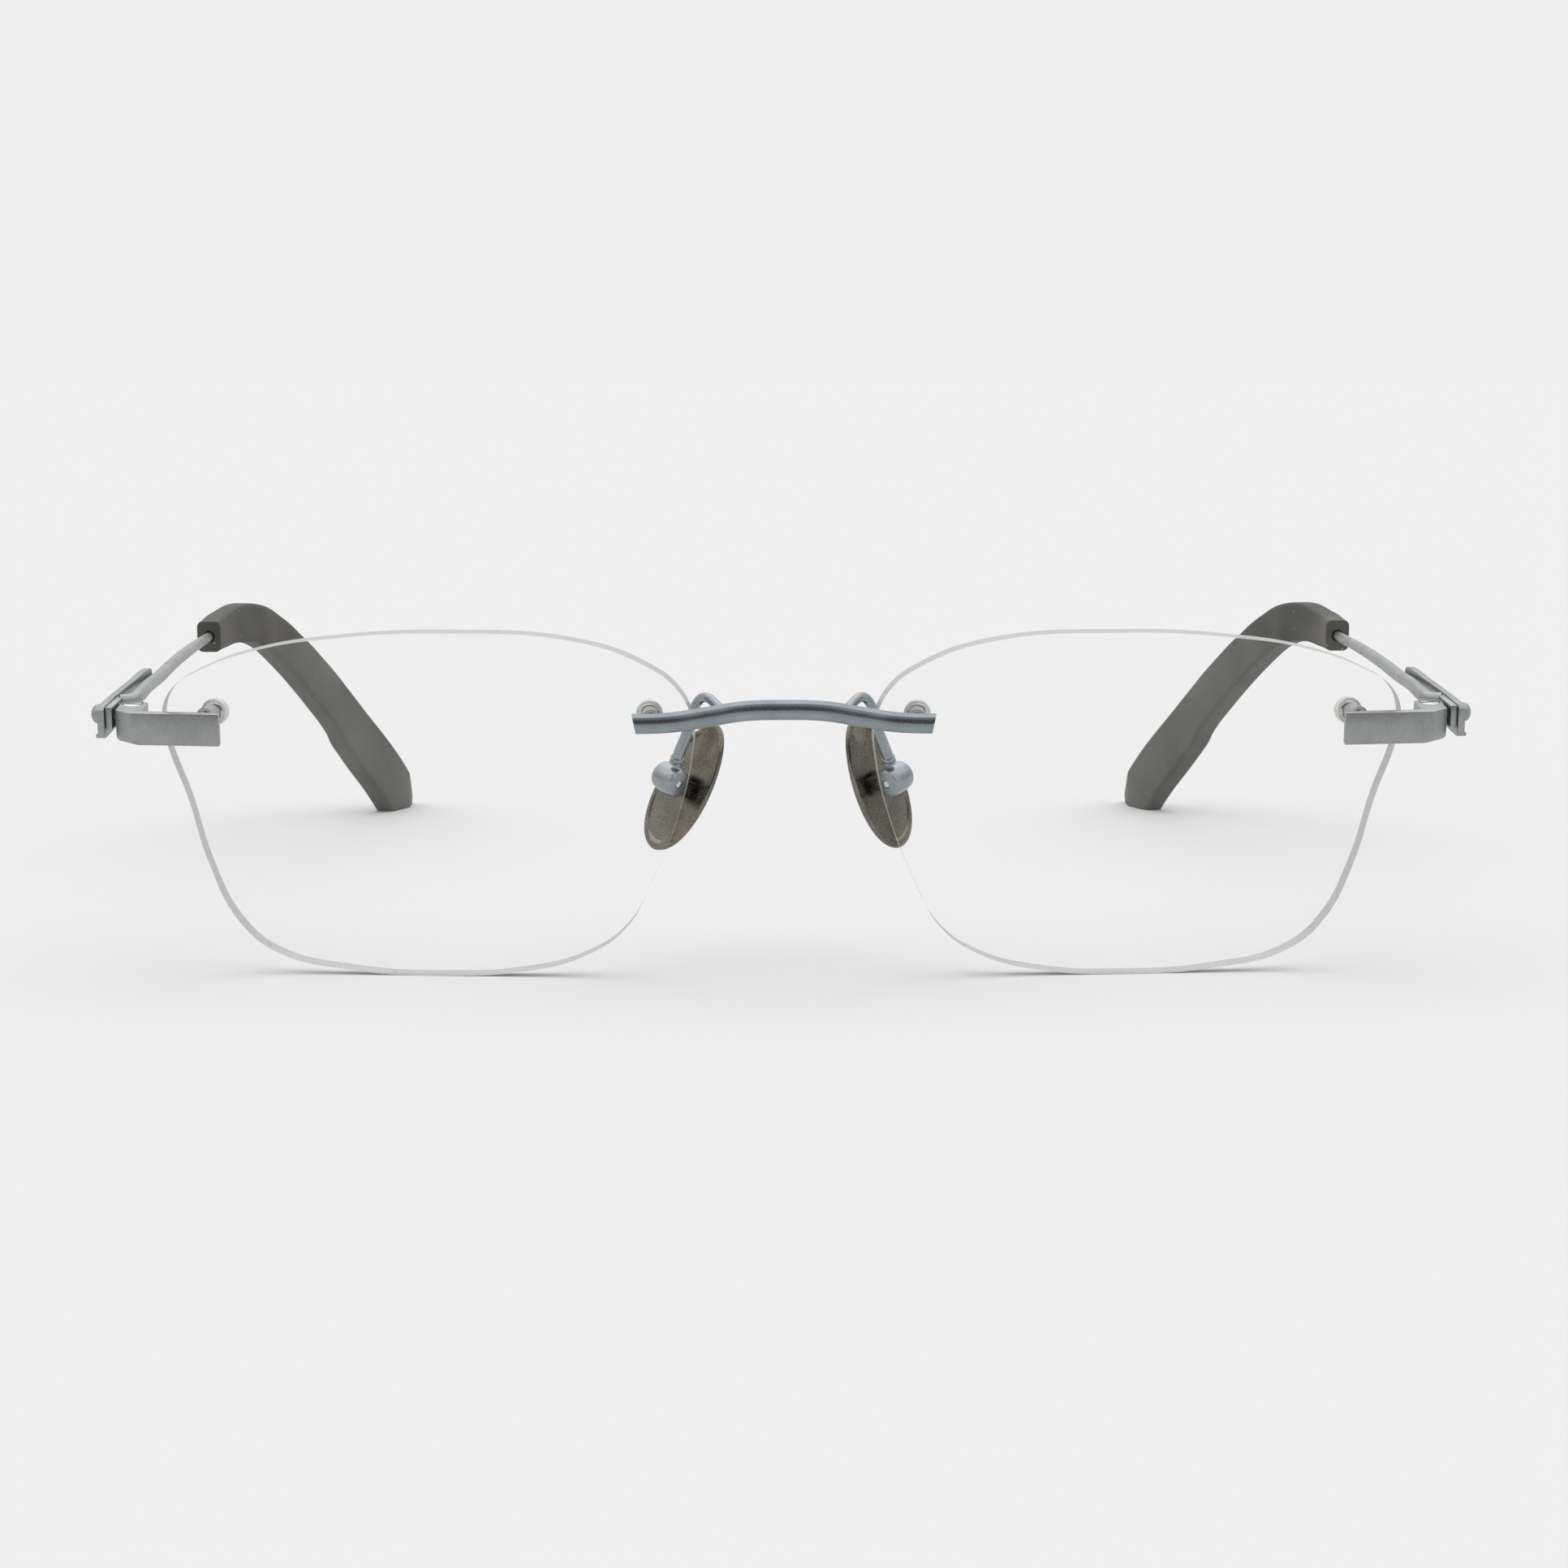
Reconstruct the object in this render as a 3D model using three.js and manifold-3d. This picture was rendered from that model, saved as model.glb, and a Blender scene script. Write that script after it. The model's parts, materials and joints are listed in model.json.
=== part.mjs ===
// Rimless eyeglasses with titanium bridge, endpieces and temples, open as worn.
// Millimetres, +Z up, the front faces -Y. "right" and "left" are the wearer's: right is at -X.
// Everything is drawn for the +X half; the other half is its mirror image.
import * as THREE from "three";
import { mergeVertices } from "three/addons/utils/BufferGeometryUtils.js";
import Module from "manifold-3d";

// Lens: plan of the front
const lensTilt = THREE.MathUtils.degToRad(7); // pantoscopic: the top leans forward
const lensWrap = THREE.MathUtils.degToRad(5); // the outer edge stands further back
const lensRadius = 150; // front curve, about base 3.5
const lensThickness = 2.0;
const lensCentre = new THREE.Vector3(36.8, 1.9, 18.15);
const nasalHole = { u: -23.4, v: 8.7 };
const temporalHole = { u: 22.2, v: 8.6 };

// Lens joint: a post through the lens, held by a sleeve, a washer and a pressed cap
const gap = 0.04;
const postRadius = 0.5;
const postLength = 3.35;
const sleeveRadius = 0.8;
const washerRadius = 1.1;
const washerThickness = 0.25;
const capRadius = 1.38;
const capLength = 1.75;

// Bridge
const bridgeHeight = 2.05;
const bridgeThickness = 1.15;
const bridgeHalf = 15.1;

// Hinge: screw axis at its middle, leaning with the lenses
const hingePoint = new THREE.Vector3(66.7, 8.5, 26.2);
const blockHeight = 3.3;
const blockHalfWidth = 1.5;
const blockOuterSide = 1.25;
const slotHeight = 1.24;
const tongueThickness = 0.9;
const hingeWasherThickness = 0.1;
const hingeScrewRadius = 0.55;
const hingeHeadRadius = 1.05;
const hingeHeadHeight = 0.45;

// Temple
const plateThickness = 0.7;
const plateToe = THREE.MathUtils.degToRad(3.2); // the cover plate closes in on the bar
const plateCorner = new THREE.Vector3(2.45, -3, 0); // inner face, front edge, in the hinge frame
const rivet = { y: 1.35, z: 0.95, shank: 0.45, dome: 1.0, height: 0.85 };
const tipHalfWidth = 1.45;

// Nose pads: rocking about their screws; each stands a little off its middle place
const padLength = 14.6;
const padWidth = 7.2;
const padThickness = 1.15;
const padSplay = THREE.MathUtils.degToRad(-45);
const padLean = THREE.MathUtils.degToRad(-26);
const padRock = { right: THREE.MathUtils.degToRad(-5), left: THREE.MathUtils.degToRad(5) };
const padPivot = new THREE.Vector3(11.6, 9.4, 19.8);
const padStandOff = 2.2; // screw axis to the pad's back
const padScrewRadius = 0.4;

const titanium = new THREE.MeshStandardMaterial({ color: 0x949898, metalness: 0.9, roughness: 0.45 });
const padTitanium = new THREE.MeshStandardMaterial({ color: 0x7d7a70, metalness: 0.9, roughness: 0.3 });
const steel = new THREE.MeshStandardMaterial({ color: 0xc8ccd0, metalness: 1, roughness: 0.2 });
const clearLens = new THREE.MeshStandardMaterial({ color: 0xf2f5f5, roughness: 0.05, opacity: 0.3 });
clearLens.transparent = true;
const clearPlastic = new THREE.MeshStandardMaterial({ color: 0xe6e4dc, roughness: 0.2, opacity: 0.6 });
clearPlastic.transparent = true;
const tipPlastic = new THREE.MeshStandardMaterial({ color: 0x64645f, metalness: 0, roughness: 0.6 });

// Solids:

const wasm = await Module();
wasm.setup();

function toSolid(geometry) {
  const bare = geometry.clone();
  bare.deleteAttribute("normal");
  bare.deleteAttribute("uv");
  const merged = mergeVertices(bare, 1e-4);
  return new wasm.Manifold(
    new wasm.Mesh({
      numProp: 3,
      vertProperties: merged.attributes.position.array,
      triVerts: new Uint32Array(merged.index.array),
    }),
  );
}

function toGeometry(solid) {
  const { vertProperties, triVerts } = solid.getMesh();
  const geometry = new THREE.BufferGeometry();
  geometry.setAttribute("position", new THREE.BufferAttribute(vertProperties, 3));
  geometry.setIndex(new THREE.BufferAttribute(triVerts, 1));
  return geometry;
}

const join = (first, ...rest) =>
  toGeometry(rest.reduce((sum, next) => sum.add(toSolid(next)), toSolid(first)));
const cut = (body, ...tools) =>
  toGeometry(tools.reduce((left, tool) => left.subtract(toSolid(tool)), toSolid(body)));

// Turns a geometry's faces over.
function flip(geometry) {
  const index = geometry.index.array;
  for (let i = 0; i < index.length; i += 3)
    [index[i + 1], index[i + 2]] = [index[i + 2], index[i + 1]];
  return geometry;
}

// Skins rings of equally many points, one after another, and closes both ends.
function loft(rings) {
  const count = rings[0].length;
  const points = rings.flat();
  const ends = [rings[0], rings[rings.length - 1]];
  const middles = ends.map((end) =>
    end.reduce((sum, p) => sum.add(p), new THREE.Vector3()).divideScalar(count));
  const index = [];
  for (let r = 0; r + 1 < rings.length; r++)
    for (let i = 0; i < count; i++) {
      const a = r * count + i;
      const b = r * count + ((i + 1) % count);
      index.push(a, b, a + count, b, b + count, a + count);
    }
  const last = (rings.length - 1) * count;
  for (let i = 0; i < count; i++) {
    const j = (i + 1) % count;
    index.push(points.length, j, i);
    index.push(points.length + 1, last + i, last + j);
  }
  const geometry = new THREE.BufferGeometry().setFromPoints([...points, ...middles]);
  geometry.setIndex(index);
  return toSolid(geometry).volume() < 0 ? flip(geometry) : geometry;
}

// A rounded-rectangle section: power 1 is an ellipse, smaller is squarer.
function section(halfWidth, halfHeight, power, count) {
  const squash = (value) => Math.sign(value) * Math.abs(value) ** power;
  return Array.from({ length: count }, (_, i) => {
    const angle = ((i + 0.5) / count) * 2 * Math.PI;
    return [halfWidth * squash(Math.cos(angle)), halfHeight * squash(Math.sin(angle))];
  });
}

// Sweeps a section along a smooth path. sectionAt gives [outward, upward] offsets at 0..1.
function sweep(points, steps, sectionAt, up = new THREE.Vector3(0, 0, 1)) {
  const path = new THREE.CatmullRomCurve3(points, false, "centripetal");
  const rings = [];
  for (let k = 0; k <= steps; k++) {
    const along = path.getTangentAt(k / steps);
    const out = new THREE.Vector3().crossVectors(along, up).normalize();
    const rise = new THREE.Vector3().crossVectors(out, along);
    const middle = path.getPointAt(k / steps);
    rings.push(sectionAt(k / steps).map(([a, b]) =>
      middle.clone().addScaledVector(out, a).addScaledVector(rise, b)));
  }
  return loft(rings);
}

// A cylinder along +Y from y0 to y1.
function rod(radius, y0, y1, sides = 12) {
  return new THREE.CylinderGeometry(radius, radius, y1 - y0, sides).translate(0, (y0 + y1) / 2, 0);
}

// The same along +Z.
const pillar = (radius, z0, z1, sides = 14) => rod(radius, z0, z1, sides).rotateX(Math.PI / 2);

function box(x0, x1, y0, y1, z0, z1) {
  return new THREE.BoxGeometry(x1 - x0, y1 - y0, z1 - z0)
    .translate((x0 + x1) / 2, (y0 + y1) / 2, (z0 + z1) / 2);
}

const vec = (x, y, z) => new THREE.Vector3(x, y, z);
const mesh = (name, geometry, material) => {
  const made = new THREE.Mesh(geometry, material);
  made.name = name;
  return made;
};

// Frames of the +X half:

const lensFrame = new THREE.Matrix4().compose(
  lensCentre,
  new THREE.Quaternion().setFromEuler(new THREE.Euler(lensTilt, 0, lensWrap, "ZXY")),
  vec(1, 1, 1),
);
const hingeFrame = new THREE.Matrix4().compose(
  hingePoint,
  new THREE.Quaternion().setFromEuler(new THREE.Euler(lensTilt, 0, 0)),
  vec(1, 1, 1),
);
const lensDepth = (u, v) => lensRadius - Math.sqrt(lensRadius ** 2 - u * u - v * v);

// A lens hole: +Y runs backwards through the lens, from its front surface.
function holeFrame({ u, v }) {
  const back = vec(-u, lensRadius - lensDepth(u, v), -v).normalize();
  return new THREE.Matrix4().compose(
    vec(u, lensDepth(u, v), v),
    new THREE.Quaternion().setFromUnitVectors(vec(0, 1, 0), back),
    vec(1, 1, 1),
  );
}
const holeInWorld = (hole) => lensFrame.clone().multiply(holeFrame(hole));

// Lens and its joints:

// Outline round the lens, outward and upward from its middle.
const lensOutline = new THREE.CatmullRomCurve3(
  [
    [26.7, 9.0], [26.3, 5.7], [24.3, 0], [22.4, -7.0], [19.7, -12.9], [16.1, -16.1], [7.5, -18.0],
    [-1.5, -18.4], [-9.3, -18.0], [-16.2, -16.3], [-20.5, -13.3], [-23.4, -8.0], [-25.8, -2.0],
    [-27.3, 4.0], [-27.5, 8.1], [-26.1, 11.4], [-23.0, 13.9], [-16.5, 16.4], [-2.5, 17.45],
    [8.9, 16.8], [16.8, 15.4], [22.7, 13.2], [25.5, 11.4],
  ].map(([u, v]) => vec(u, 0, v)),
  true,
  "centripetal",
);

function lensBody() {
  const outline = lensOutline.getSpacedPoints(44).slice(0, 44);
  const ringOn = (scale, offset) =>
    outline.map((p) => vec(p.x * scale, offset + lensDepth(p.x * scale, p.z * scale), p.z * scale));
  const scales = [0.4, 0.75, 1];
  const body = loft([
    ...scales.map((s) => ringOn(s, 0)),
    ...scales.reverse().map((s) => ringOn(s, lensThickness)),
  ]);
  const drill = (hole) => rod(sleeveRadius + gap, -2, lensThickness + 2).applyMatrix4(holeFrame(hole));
  return cut(body, drill(nasalHole), drill(temporalHole));
}

// Washer and cap sit behind the lens, the sleeve in it, all round the post.
function lensJoint(name, hole) {
  const group = new THREE.Group();
  group.applyMatrix4(lensFrame.clone().multiply(holeFrame(hole)));
  const washerFront = lensThickness + 0.18;
  const capFront = washerFront + washerThickness + gap;
  const bore = postRadius + gap;
  const sleeve = cut(rod(sleeveRadius, 0.05, washerFront - gap), rod(bore, -1, 4));
  const washer = cut(
    rod(washerRadius, washerFront, washerFront + washerThickness),
    rod(bore, 0, 5),
  );
  const dome = new THREE.LatheGeometry(
    [
      [0, 0], [capRadius - 0.12, 0], [capRadius, 0.15], [capRadius, capLength - 0.95],
      [capRadius * 0.9, capLength - 0.45], [capRadius * 0.6, capLength - 0.12], [0, capLength],
    ].map(([r, y]) => new THREE.Vector2(r, y)),
    12,
  ).translate(0, capFront, 0);
  group.add(
    mesh(name + "_sleeve", sleeve, clearPlastic),
    mesh(name + "_washer", washer, steel),
    mesh(name + "_cap", cut(dome, rod(bore, 0, postLength + gap)), clearPlastic),
  );
  return group;
}

const post = () => rod(postRadius, -0.9, postLength);

// Bridge: one bar for both halves, with a post at each end:

function makeBridge() {
  const half = [vec(0, -0.95, 28.0), vec(4, -0.85, 27.87), vec(8, -0.35, 27.2), vec(11.4, 0.05, 26.65)];
  half.push(vec(bridgeHalf, -0.1, 26.5));
  const mirrored = half.slice(1).map((p) => vec(-p.x, p.y, p.z)).reverse();
  const bar = sweep([...mirrored, ...half], 22, () =>
    section(bridgeThickness / 2, bridgeHeight / 2, 0.55, 12));
  const leftPost = post().applyMatrix4(holeInWorld(nasalHole));
  const rightPost = flip(leftPost.clone().scale(-1, 1, 1));
  return join(bar, leftPost, rightPost);
}

const bridgeBody = makeBridge();

// Endpiece and hinge, in the hinge frame:

function endpiece() {
  const outline = new THREE.Shape();
  outline.moveTo(-9.5, -5.3);
  outline.lineTo(-0.4, -4.5);
  outline.lineTo(blockOuterSide, -3.0);
  outline.lineTo(blockOuterSide, 0.8);
  outline.lineTo(0.6, 1.36); // the rear corners keep clear of the folding bar
  outline.lineTo(-0.6, 1.36);
  outline.lineTo(-blockHalfWidth, 0.5);
  outline.lineTo(-blockHalfWidth, -3.45);
  outline.lineTo(-9.5, -4.2);
  outline.closePath();
  const body = new THREE.ExtrudeGeometry(outline, {
    depth: blockHeight,
    bevelEnabled: false,
    curveSegments: 8,
  }).translate(0, 0, -blockHeight / 2);
  const fromWorld = hingeFrame.clone().invert();
  const joined = join(body, post().applyMatrix4(fromWorld.multiply(holeInWorld(temporalHole))));
  return cut(
    joined,
    box(-3, 3, -2.45, 4, -slotHeight / 2, slotHeight / 2),
    pillar(hingeScrewRadius + gap, -4, 4),
    pillar(hingeHeadRadius + gap, blockHeight / 2 - hingeHeadHeight - gap, 4),
  );
}

function hingeScrew() {
  const top = blockHeight / 2;
  return cut(
    join(
      pillar(hingeScrewRadius, -top, top - 0.2),
      pillar(hingeHeadRadius, top - hingeHeadHeight, top),
    ),
    box(-2, 2, -0.13, 0.13, top - 0.2, top + 1),
  );
}

function hingeWasher(bottom) {
  return cut(
    pillar(1.3, bottom, bottom + hingeWasherThickness),
    pillar(hingeScrewRadius + gap, -4, 4),
  );
}

function hinge(side) {
  const group = new THREE.Group();
  group.applyMatrix4(hingeFrame);
  const washerPlace = tongueThickness / 2 + 0.03;
  group.add(
    mesh(side + "_endpiece", endpiece(), titanium),
    mesh(side + "_hinge_screw", hingeScrew(), steel),
    mesh(side + "_hinge_washer_upper", hingeWasher(washerPlace), clearPlastic),
    mesh(side + "_hinge_washer_lower", hingeWasher(-washerPlace - hingeWasherThickness), clearPlastic),
  );
  return group;
}

// Temple:

// Bar route behind the hinge, relative to the hinge point: a curl at the plate, then straight
// back, over the ear and down inside the tip.
const barFront = [vec(1.8, 2.4, 1.6), vec(1.35, 2.6, 1.62), vec(0.6, 3.3, 1.68), vec(0.38, 5, 1.9)];
const tipRoute = [
  [3.1, 71.5, 3.0], [2.7, 77.5, 3.4], [1.5, 85.5, 3.7], [0, 91.5, 2.9], [-1.2, 96.8, 1.1],
  [-2.8, 102.8, -1.8], [-4.4, 108.5, -5.0], [-6.0, 113.2, -8.2], [-7.6, 117.9, -11.6],
  [-9.7, 123.5, -16.0], [-12.1, 129.5, -20.9], [-14.8, 136.2, -27.6],
].map((p) => vec(...p));
const barMiddle = [vec(0.25, 10, 2.45), vec(0.3, 17.5, 2.75), vec(1.0, 30, 3.0), vec(2.1, 50, 3.1)];

// The frame of the cover plate: +Y runs back along it, its inner face is x = 0.
const plateFrame = new THREE.Matrix4().compose(
  plateCorner,
  new THREE.Quaternion().setFromEuler(new THREE.Euler(0, 0, plateToe)),
  vec(1, 1, 1),
);

function templeBar() {
  const route = [...barFront, ...barMiddle, ...tipRoute.slice(0, 9)];
  const bar = sweep(route, 34, (t) => {
    const size = t < 0.12 ? 0.75 : Math.max(0.58, 0.75 - (t - 0.12) * 0.4);
    return section(size, size, 0.85, 8);
  });
  const tongue = join(
    pillar(1.35, -tongueThickness / 2, tongueThickness / 2, 18),
    box(0, 2.1, -2.3, 1.3, -tongueThickness / 2, tongueThickness / 2),
  );
  const riser = box(-0.75, -0.03, 0.35, 5.7, -tongueThickness / 2, 1.85).applyMatrix4(plateFrame);
  const front = cut(
    join(tongue, riser),
    pillar(hingeScrewRadius + gap, -4, 4),
    rod(rivet.shank + gap, -3, 3).rotateZ(Math.PI / 2).translate(0, rivet.y, rivet.z)
      .applyMatrix4(plateFrame),
    box(0.2, 1.62, -4, -1.45, -3, 3),
  ).rotateX(lensTilt);
  return join(bar, front);
}

// Cover plate: outline seen from outside, back and up, with its window.
function templePlate() {
  const outline = new THREE.Shape();
  outline.moveTo(0.35, 1.95);
  outline.lineTo(0, 1.6);
  outline.lineTo(0, -1.0);
  outline.quadraticCurveTo(0, -1.4, 0.5, -1.4);
  outline.lineTo(3.5, -1.35);
  outline.bezierCurveTo(9, -1.1, 11, -0.6, 14, -0.65);
  outline.bezierCurveTo(17, -0.7, 19, -0.65, 21.2, -0.5);
  outline.quadraticCurveTo(22.3, -0.2, 22.3, 0.6);
  outline.quadraticCurveTo(22.2, 1.4, 21.1, 1.5);
  outline.bezierCurveTo(17, 1.6, 8, 1.95, 0.35, 1.95);
  const window = new THREE.Path();
  window.moveTo(3.0, -0.55);
  window.lineTo(8.6, -0.45);
  window.quadraticCurveTo(9.8, 0.3, 8.6, 1.2);
  window.lineTo(3.0, 1.3);
  window.closePath();
  outline.holes.push(window);
  const plate = new THREE.ExtrudeGeometry(outline, {
    depth: plateThickness,
    bevelEnabled: false,
    curveSegments: 4,
  });
  // Shape x runs back, shape y up, and the thickness outward.
  plate.applyMatrix4(new THREE.Matrix4().makeBasis(vec(0, 1, 0), vec(0, 0, 1), vec(1, 0, 0)));
  const lip = box(plateThickness - 0.05, plateThickness + 0.3, 0.3, 9, -1.4, -0.95);
  return cut(
    join(plate, lip),
    rod(rivet.shank + gap, -3, 3).rotateZ(Math.PI / 2).translate(0, rivet.y, rivet.z),
  );
}

// Rivet with a domed head outside the plate.
function plateRivet() {
  const start = plateThickness + 0.03;
  const profile = [
    [0, -0.7], [rivet.shank, -0.7], [rivet.shank, start], [rivet.dome, start],
    [rivet.dome * 0.93, start + rivet.height * 0.5], [rivet.dome * 0.62, start + rivet.height * 0.86],
    [0, start + rivet.height],
  ];
  return new THREE.LatheGeometry(profile.map(([r, y]) => new THREE.Vector2(r, y)), 12)
    .rotateZ(-Math.PI / 2)
    .translate(0, rivet.y, rivet.z);
}

// The tip widens downward, by a step in its lower edge.
function templeTip() {
  const above = [1.9, 2.15, 2.5, 2.6, 2.8, 3.1, 3.3, 3.4, 3.6, 3.75, 3.7, 3.3];
  const below = [1.9, 2.15, 2.5, 2.6, 2.75, 2.85, 2.9, 3.0, 3.7, 3.85, 3.8, 3.3];
  const body = sweep(tipRoute, 22, (t) => {
    const place = t * (above.length - 1);
    const k = Math.min(Math.floor(place), above.length - 2);
    const heightIn = (list) => THREE.MathUtils.lerp(list[k], list[k + 1], place - k);
    return section(tipHalfWidth, 1, 0.5, 12).map(([a, b]) => [a, b * heightIn(b > 0 ? above : below)]);
  });
  const bore = sweep([...barMiddle.slice(2), ...tipRoute.slice(0, 9)], 26, () =>
    section(0.72, 0.72, 0.85, 8));
  const underFloor = box(-40, 20, 90, 170, -60, -hingePoint.z);
  const pastEnd = box(-40, -15.4, 90, 170, -60, 0);
  return cut(body, bore, underFloor, pastEnd);
}

function temple(side) {
  const group = new THREE.Group();
  group.position.copy(hingePoint);
  const front = new THREE.Group();
  front.rotation.x = lensTilt;
  const plate = new THREE.Group();
  plate.applyMatrix4(plateFrame);
  plate.add(
    mesh(side + "_temple_plate", templePlate(), titanium),
    mesh(side + "_plate_rivet", plateRivet(), steel),
  );
  front.add(plate);
  group.add(
    front,
    mesh(side + "_temple_bar", templeBar(), titanium),
    mesh(side + "_temple_tip", templeTip(), tipPlastic),
  );
  return group;
}

// Nose pad, its box and arm:

// The frame of a pad box: +X faces away from the nose, +Y is the screw axis, +Z up the pad.
const padFrame = new THREE.Matrix4().compose(
  padPivot,
  new THREE.Quaternion().setFromEuler(new THREE.Euler(0, padLean, padSplay, "YZX")),
  vec(1, 1, 1),
);

function padArm() {
  const route = [
    vec(6.2, -0.1, 27.6), vec(6.8, 1.3, 28.3), vec(8.0, 3.2, 28.9), vec(8.9, 4.6, 28.0),
    vec(9.7, 6.3, 25.3), vec(10.7, 8.0, 22.6), vec(11.05, 8.6, 21.5),
  ];
  return sweep(route, 18, (t) => section(t < 0.55 ? 0.5 : 0.6, 0.5, 1, 8), vec(1, 0, 0));
}

function padBox() {
  const shell = new THREE.LatheGeometry(
    [[0, -1.5], [1.1, -1.5], [1.5, -1.05], [1.6, 0], [1.5, 1.05], [1.1, 1.5], [0, 1.5]]
      .map(([r, y]) => new THREE.Vector2(r, y)),
    14,
  );
  return cut(
    shell,
    box(-3, 0.95, -0.95, 0.95, -1.2, 1.2),
    rod(padScrewRadius + gap, -3, 3, 10),
  );
}

function padScrew() {
  return cut(
    rod(padScrewRadius, -1.5, 1.53, 10),
    box(-1, 1, 1.41, 3, -0.08, 0.08),
  );
}

// Pad: an oval dish with a lug on its back that hangs on the screw.
function nosePad() {
  const rings = [];
  const layers = [[0.55, 0.06], [0.93, 0], [1, 0.35], [0.98, 0.8], [0.8, 1.1], [0.4, 1.18]];
  for (const [scale, depth] of layers)
    rings.push(section(padWidth / 2, padLength / 2, 0.82, 20).map(([across, along]) => {
      const taper = 1 + 0.12 * (-along / padLength);
      const bow = 0.9 * (along / padLength) ** 2 * 4 * 0.6;
      return vec(-padStandOff - depth * padThickness + bow, across * scale * taper, along * scale);
    }));
  const lug = box(-padStandOff - 0.3, 0, -0.85, 0.85, -0.7, 0.7);
  const eye = rod(0.78, -0.85, 0.85);
  return cut(
    join(loft(rings), lug, eye),
    rod(padScrewRadius + gap, -3, 3, 10),
  );
}

function noseSupport(side) {
  const group = new THREE.Group();
  const fixed = new THREE.Group();
  fixed.applyMatrix4(padFrame);
  fixed.add(
    mesh(side + "_pad_box", padBox(), titanium),
    mesh(side + "_pad_screw", padScrew(), steel),
  );
  const rocking = new THREE.Group();
  rocking.rotation.y = padRock[side];
  rocking.add(mesh(side + "_nose_pad", nosePad(), padTitanium));
  fixed.add(rocking);
  const arm = cut(padArm(), padBox().applyMatrix4(padFrame), bridgeBody);
  group.add(fixed, mesh(side + "_pad_arm", arm, titanium));
  return group;
}

// Assembly:

const glasses = new THREE.Group();
glasses.add(mesh("bridge", bridgeBody, titanium));
for (const side of ["left", "right"]) {
  const half = new THREE.Group();
  half.scale.x = side === "left" ? 1 : -1;
  const lens = mesh(side + "_lens", lensBody(), clearLens);
  lens.applyMatrix4(lensFrame);
  half.add(
    lens,
    lensJoint(side + "_bridge_joint", nasalHole),
    lensJoint(side + "_endpiece_joint", temporalHole),
    noseSupport(side),
    hinge(side),
    temple(side),
  );
  glasses.add(half);
}

// The origin is at the middle of the footprint, on the surface that the glasses stand on.
const bounds = new THREE.Box3().setFromObject(glasses, true);
glasses.position.set(
  -(bounds.min.x + bounds.max.x) / 2,
  -(bounds.min.y + bounds.max.y) / 2,
  -bounds.min.z,
);

export default glasses;
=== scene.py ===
import json
import math

import bpy
from mathutils import Matrix, Vector


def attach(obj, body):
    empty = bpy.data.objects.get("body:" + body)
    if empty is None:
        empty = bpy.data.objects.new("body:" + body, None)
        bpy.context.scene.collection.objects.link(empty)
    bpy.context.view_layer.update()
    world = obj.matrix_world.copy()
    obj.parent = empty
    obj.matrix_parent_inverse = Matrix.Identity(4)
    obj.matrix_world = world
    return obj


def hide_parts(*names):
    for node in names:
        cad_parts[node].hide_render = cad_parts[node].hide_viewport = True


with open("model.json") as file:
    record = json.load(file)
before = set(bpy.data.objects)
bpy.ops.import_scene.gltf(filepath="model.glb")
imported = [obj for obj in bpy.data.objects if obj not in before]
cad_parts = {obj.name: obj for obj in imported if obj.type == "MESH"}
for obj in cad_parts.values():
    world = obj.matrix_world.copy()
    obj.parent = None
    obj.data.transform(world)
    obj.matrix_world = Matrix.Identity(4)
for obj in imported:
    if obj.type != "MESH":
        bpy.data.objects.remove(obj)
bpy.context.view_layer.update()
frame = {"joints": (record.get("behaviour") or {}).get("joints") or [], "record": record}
print("frame loaded")

# Pieces are drawn in millimetres for the wearer's left half, at +X, each in its own small frame:
# x outward, y back, z up. place() brings them to metres and copies the right half's from them.
toMetres = Matrix.Scale(0.001, 4)
joints = {joint["name"]: joint for joint in frame["joints"]}
hingePoint = Vector(joints["left_temple_fold"]["pos_m"]) * 1000
padPoint = Vector(joints["left_pad_rock"]["pos_m"]) * 1000

# How the pieces stand: angles in degrees, places in millimetres from the hinge point.
stance = {
    "frontLean": 7,  # the tops of the lenses stand forward
    "frontWrap": 5,  # their outer edges stand back
    "lensMiddle": (-29.9, -6.6, -8.05),
    "bridgeDepth": -8.5,
    "plateCorner": (2.45, -3, 0),
    "plateSplay": 3.2,
    "padLean": -26,
    "padTurn": -45,
}


def moved(x, y, z):
    return Matrix.Translation((x, y, z))


def turned(degrees, axis):
    return Matrix.Rotation(math.radians(degrees), 4, axis)


leaning = turned(stance["frontLean"], "X")
lensCentre = hingePoint + Vector(stance["lensMiddle"])
lensFrame = moved(*lensCentre) @ turned(stance["frontWrap"], "Z") @ leaning
templeFrame = moved(*hingePoint)
hingeFrame = templeFrame @ leaning
plateFrame = hingeFrame @ moved(*stance["plateCorner"]) @ turned(stance["plateSplay"], "Z")
padFrame = moved(*padPoint) @ turned(stance["padLean"], "Y") @ turned(stance["padTurn"], "Z")
# the bridge and the pad arms are drawn in this one
drawnFrame = moved(0, hingePoint.y + stance["bridgeDepth"], 0)


# Working in Blender


def selectOnly(*pieces):
    bpy.ops.object.select_all(action="DESELECT")
    for piece in pieces:
        piece.select_set(True)
    bpy.context.view_layer.objects.active = pieces[0]


def justAdded(name):
    piece = bpy.context.object
    piece.name = name
    selectOnly(piece)
    bpy.ops.object.transform_apply(location=True, rotation=True, scale=True)
    return piece


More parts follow.
